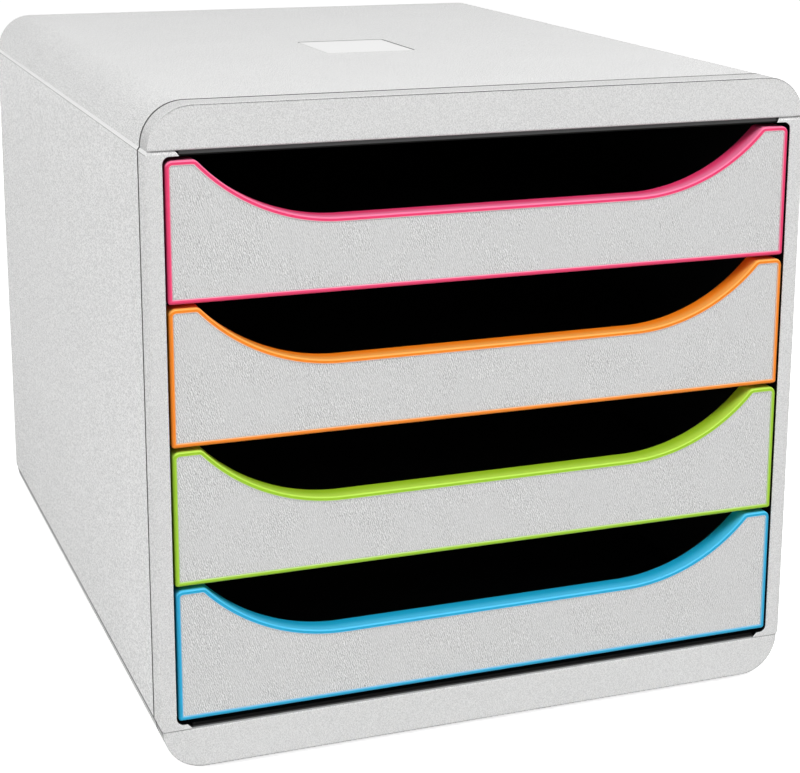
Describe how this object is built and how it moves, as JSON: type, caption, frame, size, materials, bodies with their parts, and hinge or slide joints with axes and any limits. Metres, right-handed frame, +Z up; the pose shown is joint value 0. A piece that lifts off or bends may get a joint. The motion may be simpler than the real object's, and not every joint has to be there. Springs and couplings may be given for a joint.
{
  "type": "drawer tower",
  "caption": "Desktop drawer tower with a light grey casing and scooped drawers, each with a coloured front frame around a grey panel.",
  "frame": {"origin": "middle of the footprint, on the surface the feet stand on", "axes": "+X to the right across the front, -Y the way the front faces and the drawers open, +Z up"},
  "size_m": [0.278, 0.347, 0.267],
  "materials": {
    "casing_plastic": "light grey, fine matt grain",
    "panel_plastic": "light grey, leather-like pebble grain",
    "carcass_plastic": "dark grey, smooth",
    "tray_plastic": "black, satin",
    "blue_trim": "semi-gloss blue",
    "green_trim": "semi-gloss lime green",
    "orange_trim": "semi-gloss orange",
    "pink_trim": "semi-gloss pink",
    "badge_plastic": "smooth, blank",
    "foot_rubber": "matt dark grey"
  },
  "bodies": {
    "casing": {"top_cap": "casing_plastic", "base_cap": "casing_plastic", "left_side_panel": "casing_plastic", "right_side_panel": "casing_plastic", "back_panel": "casing_plastic", "left_runner_wall": "carcass_plastic", "right_runner_wall": "carcass_plastic", "top_liner": "carcass_plastic", "floor_liner": "carcass_plastic", "blank_badge": "badge_plastic", "front_left_foot": "foot_rubber", "front_right_foot": "foot_rubber", "rear_left_foot": "foot_rubber", "rear_right_foot": "foot_rubber"},
    "drawer_1": {"drawer_1_tray": "tray_plastic", "drawer_1_rim": "blue_trim", "drawer_1_panel": "panel_plastic"},
    "drawer_2": {"drawer_2_tray": "tray_plastic", "drawer_2_rim": "green_trim", "drawer_2_panel": "panel_plastic"},
    "drawer_3": {"drawer_3_tray": "tray_plastic", "drawer_3_rim": "orange_trim", "drawer_3_panel": "panel_plastic"},
    "drawer_4": {"drawer_4_tray": "tray_plastic", "drawer_4_rim": "pink_trim", "drawer_4_panel": "panel_plastic"}
  },
  "joints": [
    {"name": "drawer_1_slide", "type": "slide", "parent": "casing", "child": "drawer_1", "axis": [0, -1, 0], "range_m": [0, 0.24]},
    {"name": "drawer_2_slide", "type": "slide", "parent": "casing", "child": "drawer_2", "axis": [0, -1, 0], "range_m": [0, 0.24]},
    {"name": "drawer_3_slide", "type": "slide", "parent": "casing", "child": "drawer_3", "axis": [0, -1, 0], "range_m": [0, 0.24]},
    {"name": "drawer_4_slide", "type": "slide", "parent": "casing", "child": "drawer_4", "axis": [0, -1, 0], "range_m": [0, 0.24]}
  ]
}
